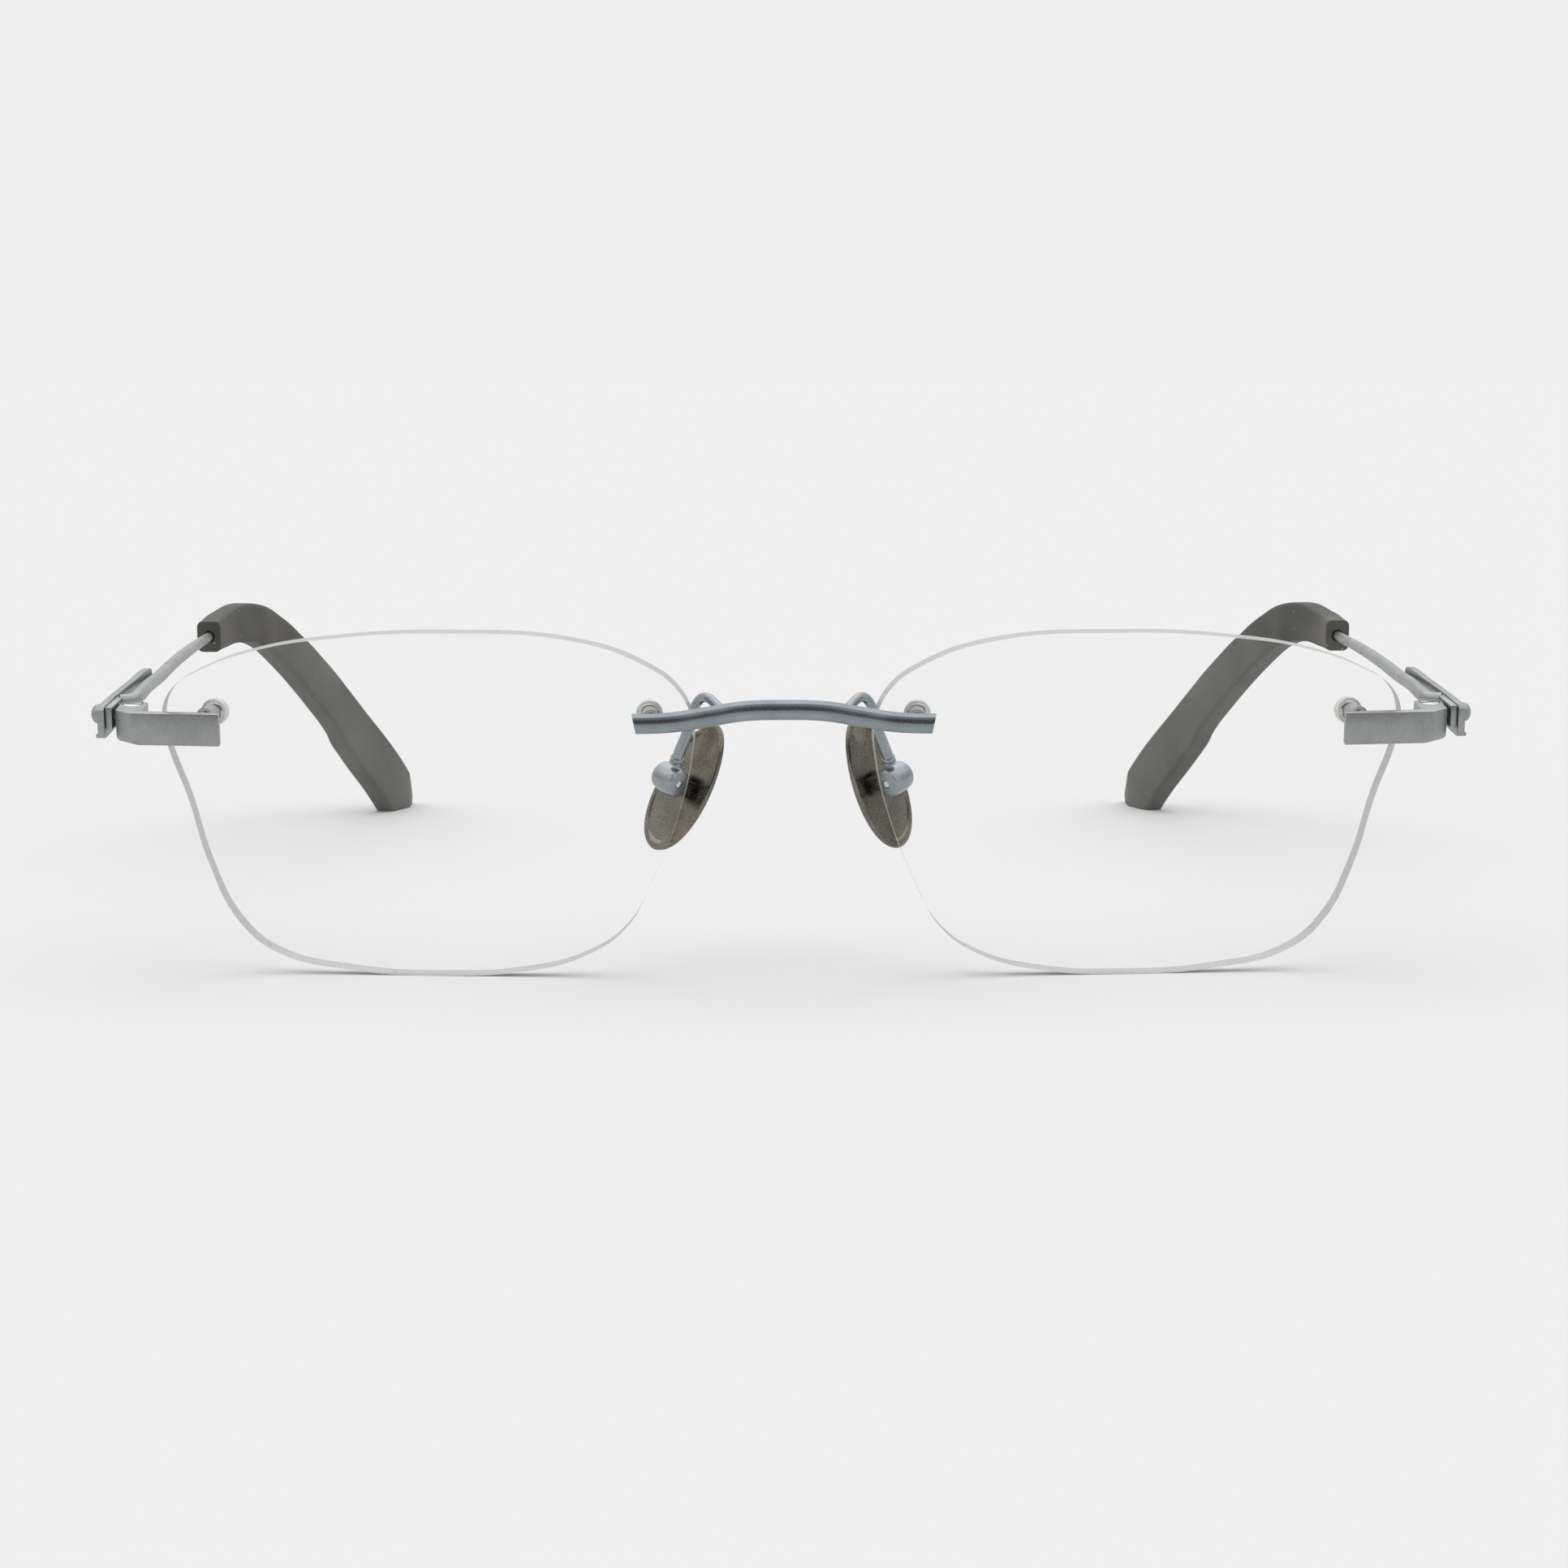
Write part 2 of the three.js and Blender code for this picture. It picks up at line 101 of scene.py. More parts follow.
# Opens edit mode with the vertices, edges or faces selected that pass the test. The test gets a
# vertex's place, an edge's two ends, or a face's middle and normal.
def pick(piece, mode, test):
    selectOnly(piece)
    bpy.ops.object.mode_set(mode="EDIT")
    bpy.ops.mesh.select_mode(type=mode)
    bpy.ops.mesh.select_all(action="DESELECT")
    bpy.ops.object.mode_set(mode="OBJECT")
    mesh = piece.data
    if mode == "VERT":
        for vertex in mesh.vertices:
            vertex.select = bool(test(vertex.co))
    elif mode == "EDGE":
        for edge in mesh.edges:
            ends = [mesh.vertices[i].co for i in edge.vertices]
            edge.select = bool(test(*ends))
    else:
        for face in mesh.polygons:
            face.select = bool(test(face.center, face.normal))
    bpy.ops.object.mode_set(mode="EDIT")


def leaveEditing():
    bpy.ops.object.mode_set(mode="OBJECT")


# Merges doubles and turns the faces outward.
def clean(piece, flatten=False):
    pick(piece, "VERT", lambda place: True)
    bpy.ops.mesh.remove_doubles(threshold=0.0005)
    if flatten:
        bpy.ops.mesh.dissolve_limited(angle_limit=math.radians(0.5))
    bpy.ops.mesh.select_all(action="SELECT")
    bpy.ops.mesh.normals_make_consistent(inside=False)
    leaveEditing()


def modify(piece, kind, **settings):
    selectOnly(piece)
    bpy.ops.object.modifier_add(type=kind)
    modifier = piece.modifiers[-1]
    for key, value in settings.items():
        setattr(modifier, key, value)
    bpy.ops.object.modifier_apply(modifier=modifier.name)


def carve(piece, tool, operation="DIFFERENCE"):
    modify(piece, "BOOLEAN", operation=operation, object=tool, solver="EXACT")
    bpy.data.objects.remove(tool)


def softenEdges(piece, width, segments=2, angle=35):
    modify(
        piece,
        "BEVEL",
        width=width,
        segments=segments,
        limit_method="ANGLE",
        angle_limit=math.radians(angle),
        use_clamp_overlap=True,
    )


def addBlock(name, low, high):
    middle = [(a + b) / 2 for a, b in zip(low, high)]
    size = [b - a for a, b in zip(low, high)]
    bpy.ops.object.select_all(action="DESELECT")
    bpy.ops.mesh.primitive_cube_add(size=1, location=middle, scale=size)
    return justAdded(name)


# A cylinder along y, or along the axis given.
def addRod(name, radius, start, end, axis="Y"):
    quarter = math.pi / 2
    tilt = {"X": (0, quarter, 0), "Y": (quarter, 0, 0), "Z": (0, 0, 0)}[axis]
    along = Vector({"X": (1, 0, 0), "Y": (0, 1, 0), "Z": (0, 0, 1)}[axis])
    bpy.ops.object.select_all(action="DESELECT")
    bpy.ops.mesh.primitive_cylinder_add(
        vertices=48,
        radius=radius,
        depth=end - start,
        location=along * (start + end) / 2,
        rotation=tilt,
    )
    return justAdded(name)


def shift(piece, matrix):
    piece.matrix_world = matrix
    selectOnly(piece)
    bpy.ops.object.transform_apply(location=True, rotation=True, scale=True)
    return piece


# A turned piece about y: a circle is extruded and scaled to each radius and place of the profile.
# A ring's profile comes back to its start; a last radius of 0 closes in a point.
def turnOnLathe(name, profile, ring=False):
    radius, y = profile[0]
    bpy.ops.object.select_all(action="DESELECT")
    bpy.ops.mesh.primitive_circle_add(
        vertices=64,
        radius=radius,
        fill_type="NOTHING" if ring else "NGON",
        location=(0, y, 0),
        rotation=(math.pi / 2, 0, 0),
    )
    piece = justAdded(name)
    bpy.ops.object.mode_set(mode="EDIT")
    bpy.ops.mesh.select_mode(type="VERT" if ring else "FACE")
    bpy.ops.mesh.select_all(action="SELECT")
    for nextRadius, nextY in profile[1:] + (profile[:1] if ring else []):
        bpy.ops.mesh.extrude_region_move(TRANSFORM_OT_translate={"value": (0, nextY - y, 0)})
        growth = nextRadius / radius
        bpy.ops.transform.resize(value=(growth, 1, growth), center_override=(0, nextY, 0))
        if nextRadius == 0:
            bpy.ops.mesh.merge(type="CENTER")
        radius, y = nextRadius, nextY
    leaveEditing()
    clean(piece)
    return piece


# Fits a spline's knots to the points; a point that ends in "corner" stays sharp.
def shapeSpline(spline, points):
    for knot, point in zip(spline.bezier_points, points):
        sharp = point[-1] == "corner"
        place = point[:-1] if sharp else point
        knot.co = (*place, 0) if len(place) == 2 else place
        knot.handle_left_type = knot.handle_right_type = "VECTOR" if sharp else "AUTO"


# A smooth line through the points.
def drawLine(name, points, closed=False):
    bpy.ops.object.select_all(action="DESELECT")
    bpy.ops.curve.primitive_bezier_curve_add()
    line = bpy.context.object
    line.name = name
    spline = line.data.splines[0]
    spline.bezier_points.add(len(points) - 2)
    shapeSpline(spline, points)
    spline.use_cyclic_u = closed
    line.data.resolution_u = 8
    return line


def meshOf(line):
    selectOnly(line)
    bpy.ops.object.convert(target="MESH")
    return bpy.context.object


# A flat outline with holes in it, given a thickness from z = 0 up.
def cutFromSheet(name, outline, thickness, holes=()):
    line = drawLine(name, outline, closed=True)
    for hole in holes:
        spline = line.data.splines.new("BEZIER")
        spline.bezier_points.add(len(hole) - 1)
        shapeSpline(spline, hole)
        spline.use_cyclic_u = True
    line.data.dimensions = "2D"
    line.data.fill_mode = "BOTH"
    line.data.extrude = thickness / 2
    piece = meshOf(line)
    shift(piece, moved(0, 0, thickness / 2))
    clean(piece, flatten=True)
    return piece


# A round wire on a route, with its radius at each point of it.
def drawWire(name, route, radii):
    line = drawLine(name, route)
    line.data.bevel_depth = 1
    line.data.bevel_resolution = 8
    line.data.use_fill_caps = True
    line.data.twist_mode = "MINIMUM"
    for knot, radius in zip(line.data.splines[0].bezier_points, radii):
        knot.radius = radius
    piece = meshOf(line)
    clean(piece)
    return piece


# Bends a piece that lies along +x from 0 onto a route, and fits its length to it.
def bendAlong(piece, route):
    line = drawLine("bendingLine", route)
    line.data.resolution_u = 16
    line.data.twist_mode = "Z_UP"
    line.data.use_stretch = True
    line.data.use_deform_bounds = True
    modify(piece, "CURVE", object=line, deform_axis="POS_X")
    bpy.data.objects.remove(line)
    clean(piece)


# Materials


def colourOf(hexColour):
    shares = [int(hexColour[i : i + 2], 16) / 255 for i in (1, 3, 5)]
    linear = [s / 12.92 if s <= 0.04045 else ((s + 0.055) / 1.055) ** 2.4 for s in shares]
    return (*linear, 1)


def addNode(tree, kind, inputs=None, **settings):
    node = tree.nodes.new("ShaderNode" + kind)
    for key, value in settings.items():
        setattr(node, key, value)
    for key, value in (inputs or {}).items():
        if isinstance(value, bpy.types.NodeSocket):
            tree.links.new(value, node.inputs[key])
        else:
            node.inputs[key].default_value = value
    return node


def scaleOf(millimetres):
    return 1000 / millimetres


def newMaterial(name):
    material = bpy.data.materials.new(name)
    material.use_nodes = True
    material.node_tree.nodes.clear()
    return material, material.node_tree


def finishMaterial(tree, surface):
    addNode(tree, "OutputMaterial", {"Surface": surface.outputs["BSDF"]})


def ramp(tree, factor, stops):
    node = addNode(tree, "ValToRGB", {"Fac": factor})
    elements = node.color_ramp.elements
    elements[0].position, elements[1].position = stops[0][0], stops[-1][0]
    elements[0].color, elements[1].color = colourOf(stops[0][1]), colourOf(stops[-1][1])
    for position, colour in stops[1:-1]:
        elements.new(position).color = colourOf(colour)
    return node.outputs["Color"]


# Blasted metal: a fine even grain that breaks the gloss, with slightly uneven tone.
def blastedMetal(name, dark, light, roughness, grain=0.16, strength=0.12):
    material, tree = newMaterial(name)
    place = addNode(tree, "TexCoord").outputs["Object"]
    grains = addNode(tree, "TexNoise", {"Vector": place, "Scale": scaleOf(grain), "Detail": 3})
    cloud = addNode(tree, "TexNoise", {"Vector": place, "Scale": scaleOf(3), "Detail": 2})
    mixed = addNode(
        tree,
        "Math",
        {0: grains.outputs["Fac"], 1: cloud.outputs["Fac"]},
        operation="ADD",
    )
    half = addNode(tree, "Math", {0: mixed.outputs[0], 1: 0.5}, operation="MULTIPLY")
    colour = ramp(tree, half.outputs[0], [(0.35, dark), (0.65, light)])
    rough = addNode(
        tree,
        "MapRange",
        {
            "Value": grains.outputs["Fac"],
            "From Min": 0.3,
            "From Max": 0.7,
            "To Min": roughness - 0.05,
            "To Max": roughness + 0.05,
        },
    )
    bump = addNode(
        tree,
        "Bump",
        {"Height": grains.outputs["Fac"], "Strength": strength, "Distance": 0.00002},
    )
    surface = addNode(
        tree,
        "BsdfPrincipled",
        {
            "Base Color": colour,
            "Metallic": 1.0,
            "Roughness": rough.outputs["Result"],
            "Normal": bump.outputs["Normal"],
        },
    )
    finishMaterial(tree, surface)
    return material


# Titanium, blasted and then plated grey: satin, speckled like fine paper.
blastedTitanium = blastedMetal("blastedTitanium", "#8e9190", "#a6a9a8", 0.4)
# The same under a cooler plating, on the bridge and the pad boxes: bluish and a little glossier.
coolTitanium = blastedMetal("coolPlatedTitanium", "#868e92", "#979fa4", 0.28, grain=0.08, strength=0.02)
# Titanium of the nose pads, tumbled: warm grey-brown, glossy enough to mirror the box.
tumbledTitanium = blastedMetal("tumbledTitanium", "#5f5b51", "#8a8578", 0.24, grain=0.2, strength=0.2)
# Stainless steel screws and washers, turned and polished: near mirror.
polishedSteel = blastedMetal("polishedSteel", "#c4c6c7", "#d8dadb", 0.12, grain=0.4, strength=0.05)


# Clear resin: a hardly uneven tone in patches of the given size.
def clearResin(name, patch, detail, dark, light, settings):
    material, tree = newMaterial(name)
    place = addNode(tree, "TexCoord").outputs["Object"]
    haze = addNode(tree, "TexNoise", {"Vector": place, "Scale": scaleOf(patch), "Detail": detail})
    colour = ramp(tree, haze.outputs["Fac"], [(0.3, dark), (0.7, light)])
    surface = addNode(tree, "BsdfPrincipled", {"Base Color": colour, **settings})
    finishMaterial(tree, surface)
    return material


# Allyl lens resin, cast and polished: colourless, with only a faint gloss.
lensResin = clearResin(
    "polishedLensResin", 25, 2, "#f7f9f9", "#ffffff", {"Roughness": 0.02, "IOR": 1.5, "Alpha": 0.03}
)
# The same resin where the rim is ground: frosted and whitish.
groundEdge = clearResin(
    "groundLensEdge", 0.3, 2, "#a0a2a0", "#b8bab8", {"Roughness": 0.35, "IOR": 1.5, "Alpha": 0.9}
)
# Moulded nylon of the joint caps: clear, faintly milky and warm, softly glossy.
clearNylon = clearResin(
    "clearMouldedNylon",
    1.2,
    3,
    "#e4e3dc",
    "#f6f5f0",
    {"Roughness": 0.35, "IOR": 1.53, "Transmission Weight": 0.25},
)


def makeSmokeAcetate():
    # Cellulose acetate, tumbled matt: smoky grey with cloudy depth and stray bright specks.
    material, tree = newMaterial("smokeAcetate")
    place = addNode(tree, "TexCoord").outputs["Object"]
    cloud = addNode(tree, "TexNoise", {"Vector": place, "Scale": scaleOf(14), "Detail": 2})
    tone = ramp(tree, cloud.outputs["Fac"], [(0.35, "#31302b"), (0.65, "#53514a")])
    cells = addNode(tree, "TexVoronoi", {"Vector": place, "Scale": scaleOf(0.9)})
    chance = addNode(tree, "SeparateColor", {"Color": cells.outputs["Color"]})
    near = addNode(tree, "Math", {0: cells.outputs["Distance"], 1: 0.09}, operation="LESS_THAN")
    rare = addNode(tree, "Math", {0: chance.outputs["Red"], 1: 0.3}, operation="LESS_THAN")
    speck = addNode(tree, "Math", {0: near.outputs[0], 1: rare.outputs[0]}, operation="MULTIPLY")
    colour = addNode(
        tree,
        "Mix",
        {"Factor": speck.outputs[0], "A": tone, "B": colourOf("#b9b9b2")},
        data_type="RGBA",
    )
    grains = addNode(tree, "TexNoise", {"Vector": place, "Scale": scaleOf(0.25), "Detail": 2})
    bump = addNode(
        tree,
        "Bump",
        {"Height": grains.outputs["Fac"], "Strength": 0.15, "Distance": 0.00003},
    )
    surface = addNode(
        tree,
        "BsdfPrincipled",
        {
            "Base Color": colour.outputs["Result"],
            "Roughness": 0.55,
            "IOR": 1.48,
            "Normal": bump.outputs["Normal"],
        },
    )
    finishMaterial(tree, surface)
    return material


smokeAcetate = makeSmokeAcetate()
print("materials made")


# Putting pieces in place

bodyOf = {}
for body, nodes in frame["record"]["behaviour"]["bodies"].items():
    bodyOf.update(dict.fromkeys(nodes, body))


def settle(piece, node):
    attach(piece, bodyOf[node])
    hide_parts(node)


def pieceName(node):
    first, *rest = node.split("_")
    return first + "".join(word.capitalize() for word in rest)


def dress(piece, material):
    if not piece.data.materials:
        piece.data.materials.append(material)
    selectOnly(piece)
    bpy.ops.object.shade_smooth_by_angle(angle=math.radians(35))


# Brings a finished piece to its place, and leaves it with its mirror image. name is the CAD
# node's, without its side. Where the two sides differ, rightPlace says how the right one stands.
def place(piece, name, slot, material, matrix, rightMatrix=None):
    dress(piece, material)
    selectOnly(piece)
    bpy.ops.object.duplicate()
    copy = bpy.context.object
    flip = Matrix.Scale(-1, 4, (1, 0, 0))
    shift(piece, toMetres @ matrix)
    shift(copy, flip @ toMetres @ (rightMatrix or matrix))
    selectOnly(copy)
    bpy.ops.object.mode_set(mode="EDIT")
    bpy.ops.mesh.select_all(action="SELECT")
    bpy.ops.mesh.normals_make_consistent(inside=False)
    leaveEditing()
    for side, made in (("left", piece), ("right", copy)):
        node = side + "_" + name
        made.name = made.data.name = pieceName(node)
        settle(made, node)
    print(name, "placed:", len(piece.data.polygons), "faces")


# Lenses

lens = {
    "frontRadius": 150,
    "thickness": 2.0,
    "edgeBreak": 0.3,
    "blankSize": (62, 44),
    "blankCuts": (64, 46),
    "holeRadius": 0.84,
    "nasalHole": (-23.4, 8.7),
    "templeHole": (22.2, 8.6),
    # outward and upward from the middle
    "outline": [
        (26.7, 9.0), (26.3, 5.7), (24.3, 0), (22.4, -7.0), (19.7, -12.9), (16.1, -16.1),
        (7.5, -18.0), (-1.5, -18.4), (-9.3, -18.0), (-16.2, -16.3), (-20.5, -13.3), (-23.4, -8.0),
        (-25.8, -2.0), (-27.3, 4.0), (-27.5, 8.1), (-26.1, 11.4), (-23.0, 13.9), (-16.5, 16.4),
        (-2.5, 17.45), (8.9, 16.8), (16.8, 15.4), (22.7, 13.2), (25.5, 11.4),
    ],
}


def lensDepth(u, v):
    return lens["frontRadius"] - math.sqrt(lens["frontRadius"] ** 2 - u * u - v * v)


# The frame of a hole through the lens: +y runs back along it from the front surface.
def holeFrame(hole):
    u, v = hole
    depth = lensDepth(u, v)
    back = Vector((-u, lens["frontRadius"] - depth, -v)).normalized()
    turn = Vector((0, 1, 0)).rotation_difference(back).to_matrix().to_4x4()
    return lensFrame @ moved(u, depth, v) @ turn


def makeLens():
    wide, tall = lens["blankSize"]
    across, up = lens["blankCuts"]
    bpy.ops.object.select_all(action="DESELECT")
    bpy.ops.mesh.primitive_grid_add(
        x_subdivisions=across, y_subdivisions=up, size=1, rotation=(math.pi / 2, 0, 0)
    )
    bpy.ops.transform.resize(value=(wide, 1, tall))
    piece = justAdded("lens")
    # the grid is cast on the sphere of the front surface
    shift(piece, moved(0, -lens["frontRadius"], 0))
    modify(piece, "CAST", cast_type="SPHERE", factor=1, radius=0, size=lens["frontRadius"])
    shift(piece, moved(0, lens["frontRadius"], 0))
    modify(piece, "SOLIDIFY", thickness=lens["thickness"], offset=-1)
    # the front surface touches y = 0 in its middle
    lowest = min(vertex.co.y for vertex in piece.data.vertices)
    shift(piece, moved(0, -lowest, 0))
    clean(piece)
    cutter = cutFromSheet("lensCutter", lens["outline"], 20)
    shift(cutter, turned(90, "X") @ moved(0, 0, -12))  # from well before the lens to behind it
    carve(piece, cutter, "INTERSECT")
    for hole in (lens["nasalHole"], lens["templeHole"]):
        drill = addRod("drill", lens["holeRadius"], -2, 5)
        shift(drill, lensFrame.inverted() @ holeFrame(hole))
        carve(piece, drill)
    softenEdges(piece, lens["edgeBreak"], segments=1, angle=50)
    clean(piece)
    piece.data.materials.append(lensResin)
    piece.data.materials.append(groundEdge)
    pick(piece, "FACE", lambda middle, normal: abs(normal.y) < 0.9)
    bpy.context.object.active_material_index = 1
    bpy.ops.object.material_slot_assign()
    leaveEditing()
    place(piece, "lens", "lens", lensResin, lensFrame)


makeLens()


# Lens joints: sleeve in the hole, washer and pressed cap behind

lensJoint = {
    "gap": 0.04,
    "postRadius": 0.5,
    "postFront": -0.9,
    "postBack": 3.35,
    "postSoftness": 0.1,
    "sleeveRadius": 0.8,
    "sleeveFront": 0.05,
    "sleeveChamfer": 0.05,
    "washerBehindLens": 0.18,
    "washerRadius": 1.1,
    "washerThickness": 0.25,
    "capRadius": 1.38,
    "capLength": 1.64,
    "capStraight": 0.85,
    "capBoreDepth": 0.92,
    # the cap's rounded rim and shallow seam groove: how far inside its radius, and how far back
    "capSkirt": [(0.14, 0), (0.04, 0.05), (0, 0.16), (0, 0.5), (0.05, 0.55), (0.01, 0.6)],
}


def makeLensJoint(name, hole):
    bore = lensJoint["postRadius"] + lensJoint["gap"]
    washerFront = lens["thickness"] + lensJoint["washerBehindLens"]
    washerBack = washerFront + lensJoint["washerThickness"]
    capFront = washerBack + lensJoint["gap"]
    matrix = holeFrame(hole)

    outer, front = lensJoint["sleeveRadius"], lensJoint["sleeveFront"]
    back = washerFront - lensJoint["gap"]
    chamfer = lensJoint["sleeveChamfer"]
    sleeve = turnOnLathe(
        "sleeve",
        [
            (outer, front + chamfer),
            (outer, back - chamfer),
            (outer - chamfer, back),
            (bore, back),
            (bore, front),
            (outer - chamfer, front),
        ],
        ring=True,
    )
    place(sleeve, name + "_sleeve", "clear_plastic", clearNylon, matrix)

    # the washer is a rounded ring
    ringMiddle = (lensJoint["washerRadius"] + bore) / 2
    ringHalf = (lensJoint["washerRadius"] - bore) / 2
    depthMiddle = (washerFront + washerBack) / 2
    depthHalf = lensJoint["washerThickness"] / 2
    steps = [math.pi * (2 * i + 1) / 12 for i in range(12)]
    washer = turnOnLathe(
        "washer",
        [
            (ringMiddle + ringHalf * math.cos(step), depthMiddle + depthHalf * math.sin(step))
            for step in steps
        ],
        ring=True,
    )
    place(washer, name + "_washer", "polished_steel", polishedSteel, matrix)

    # the cap: a barrel with a domed end, pressed over the post
    radius = lensJoint["capRadius"]
    domeFront = capFront + lensJoint["capStraight"]
    domeHeight = lensJoint["capLength"] - lensJoint["capStraight"]
    profile = [(bore, capFront + lensJoint["capBoreDepth"]), (bore, capFront)]
    profile += [(radius - inset, capFront + depth) for inset, depth in lensJoint["capSkirt"]]
    for i in range(9):
        step = math.pi / 2 * i / 9
        profile.append((radius * math.cos(step) - 0.01, domeFront + domeHeight * math.sin(step)))
    profile.append((0, capFront + lensJoint["capLength"]))
    cap = turnOnLathe("cap", profile)
    place(cap, name + "_cap", "clear_plastic", clearNylon, matrix)


makeLensJoint("bridge_joint", lens["nasalHole"])
makeLensJoint("endpiece_joint", lens["templeHole"])


def postAt(hole):
    post = addRod("post", lensJoint["postRadius"], lensJoint["postFront"], lensJoint["postBack"])
    softenEdges(post, lensJoint["postSoftness"])
    return shift(post, holeFrame(hole))


# Bridge

bridge = {
    "halfRoute": [
        (0, -0.95, 28.0), (4, -0.85, 27.87), (8, -0.35, 27.2), (11.4, 0.05, 26.65),
        (15.6, -0.1, 26.5),
    ],
    "halfLength": 15.1,
    "endSlant": 12,  # degrees
    "edgeBreak": 0.09,
    # section: outward is the front, then up; a bevel above a rounded front
    "section": [
        (0.02, 1.02, "corner"), (0.42, 0.68, "corner"), (0.53, 0.3), (0.575, -0.15), (0.52, -0.6),
        (0.3, -0.93), (0, -1.02), (-0.3, -1.0), (-0.52, -0.75), (-0.57, 0), (-0.5, 0.75),
        (-0.3, 0.98),
    ],
}


def makeBridge():
    half = bridge["halfRoute"]
    route = [(-x, y, z) for x, y, z in reversed(half[1:])] + half
    section = drawLine("bridgeSection", bridge["section"], closed=True)
    section.data.dimensions = "2D"
    line = drawLine("bridge", route)
    line.data.twist_mode = "Z_UP"
    line.data.resolution_u = 12
    line.data.bevel_mode = "OBJECT"
    line.data.bevel_object = section
    line.data.use_fill_caps = True
    piece = meshOf(line)
    bpy.data.objects.remove(section)
    clean(piece)
    slant = math.radians(bridge["endSlant"])
    for side in (-1, 1):
        pick(piece, "VERT", lambda place: True)
        bpy.ops.mesh.bisect(
            plane_co=(side * bridge["halfLength"], 0, half[-1][2]),
            plane_no=(side * math.cos(slant), 0, -math.sin(slant)),
            use_fill=True,
            clear_outer=True,
        )
        leaveEditing()
    softenEdges(piece, bridge["edgeBreak"], angle=50)
    for side in (1, -1):
        post = shift(postAt(lens["nasalHole"]), Matrix.Scale(side, 4, (1, 0, 0)))
        clean(post)
        shift(post, drawnFrame.inverted())
        carve(piece, post, "UNION")
    dress(piece, coolTitanium)
    shift(piece, toMetres @ drawnFrame)
    piece.name = piece.data.name = "bridgeBar"
    settle(piece, "bridge")
    print("bridge placed:", len(piece.data.polygons), "faces")


makeBridge()


# Endpieces and hinges

hinge = {
    "halfHeight": 1.65,
    "outerSide": 1.25,
    # the endpiece from above: outward and back
    "outline": [
        (-9.5, -5.3, "corner"), (-0.4, -4.5, "corner"), (1.25, -3.0, "corner"),
        (1.25, 0.8, "corner"), (0.6, 1.36, "corner"), (-0.6, 1.36, "corner"),
        (-1.5, 0.5, "corner"), (-1.5, -3.3, "corner"), (-1.75, -3.5, "corner"),
        (-9.5, -4.2, "corner"),
    ],
    "roundBelow": 0.6,
    "edgeBreak": 0.06,
    "slotHalf": 0.62,
    "slotFront": -2.45,
    "gap": 0.04,
    "screwRadius": 0.55,
    "headRadius": 1.05,
    "headHeight": 0.45,
    "driverSlot": (0.13, 0.2),  # half its width, and its depth
    "screwTurn": 20,
    "washerRadius": 1.3,
    "washerThickness": 0.1,
    "washerChamfer": 0.03,
    "washerPlaces": {"upper": 0.48, "lower": -0.58},
}


def makeEndpiece():
    top = hinge["halfHeight"]
    side = hinge["outerSide"]
    piece = cutFromSheet("endpiece", hinge["outline"], 2 * top)
    shift(piece, moved(0, 0, -top))
    # the lower outer corner is well rounded
    pick(
        piece,
        "EDGE",
        lambda a, b: max(a.z, b.z) < -top + 0.01
        and (
            (min(a.x, b.x) > -0.5 and max(a.y, b.y) < -2.4)
            or min(a.x, b.x) > side - 0.01
            or (min(a.y, b.y) > 0.7 and min(a.x, b.x) > 0.5)
        ),
    )
    bpy.ops.mesh.bevel(offset=hinge["roundBelow"], segments=5, profile=0.5)
    leaveEditing()
    clean(piece)
    softenEdges(piece, hinge["edgeBreak"], angle=25)
    half = hinge["slotHalf"]
    carve(piece, addBlock("slot", (-4, hinge["slotFront"], -half), (4, 5, half)))
    carve(piece, addRod("screwHole", hinge["screwRadius"] + hinge["gap"], -4, 4, "Z"))
    seat = top - hinge["headHeight"] - hinge["gap"]
    carve(piece, addRod("screwSeat", hinge["headRadius"] + hinge["gap"], seat, 4, "Z"))
    post = shift(postAt(lens["templeHole"]), hingeFrame.inverted())
    carve(piece, post, "UNION")
    clean(piece)
    place(piece, "endpiece", "titanium", blastedTitanium, hingeFrame)


def makeHingeScrew():
    top = hinge["halfHeight"]
    shank = hinge["screwRadius"]
    head = hinge["headRadius"]
    piece = turnOnLathe(
        "screw",
        [
            (shank - 0.1, -top),
            (shank, -top + 0.1),
            (shank, top - hinge["headHeight"]),
            (head, top - hinge["headHeight"]),
            (head, top - 0.14),
            (head - 0.07, top - 0.04),
            (head - 0.2, top),
        ],
    )
    shift(piece, turned(90, "X"))
    half, depth = hinge["driverSlot"]
    carve(piece, addBlock("screwSlot", (-3, -half, top - depth), (3, half, top + 1)))
    matrix = hingeFrame @ turned(hinge["screwTurn"], "Z")
    place(piece, "hinge_screw", "polished_steel", polishedSteel, matrix)


def makeHingeWashers():
    inner = hinge["screwRadius"] + hinge["gap"]
    outer = hinge["washerRadius"]
    chamfer = hinge["washerChamfer"]
    for side, low in hinge["washerPlaces"].items():
        high = low + hinge["washerThickness"]
        piece = turnOnLathe(
            "washer",
            [
                (outer - chamfer, low),
                (outer, low + chamfer),
                (outer, high - chamfer),
                (outer - chamfer, high),
                (inner, high),
                (inner, low),
            ],
            ring=True,
        )
        shift(piece, turned(90, "X"))
        place(piece, "hinge_washer_" + side, "clear_plastic", clearNylon, hingeFrame)


makeEndpiece()
makeHingeScrew()
makeHingeWashers()


# Temples

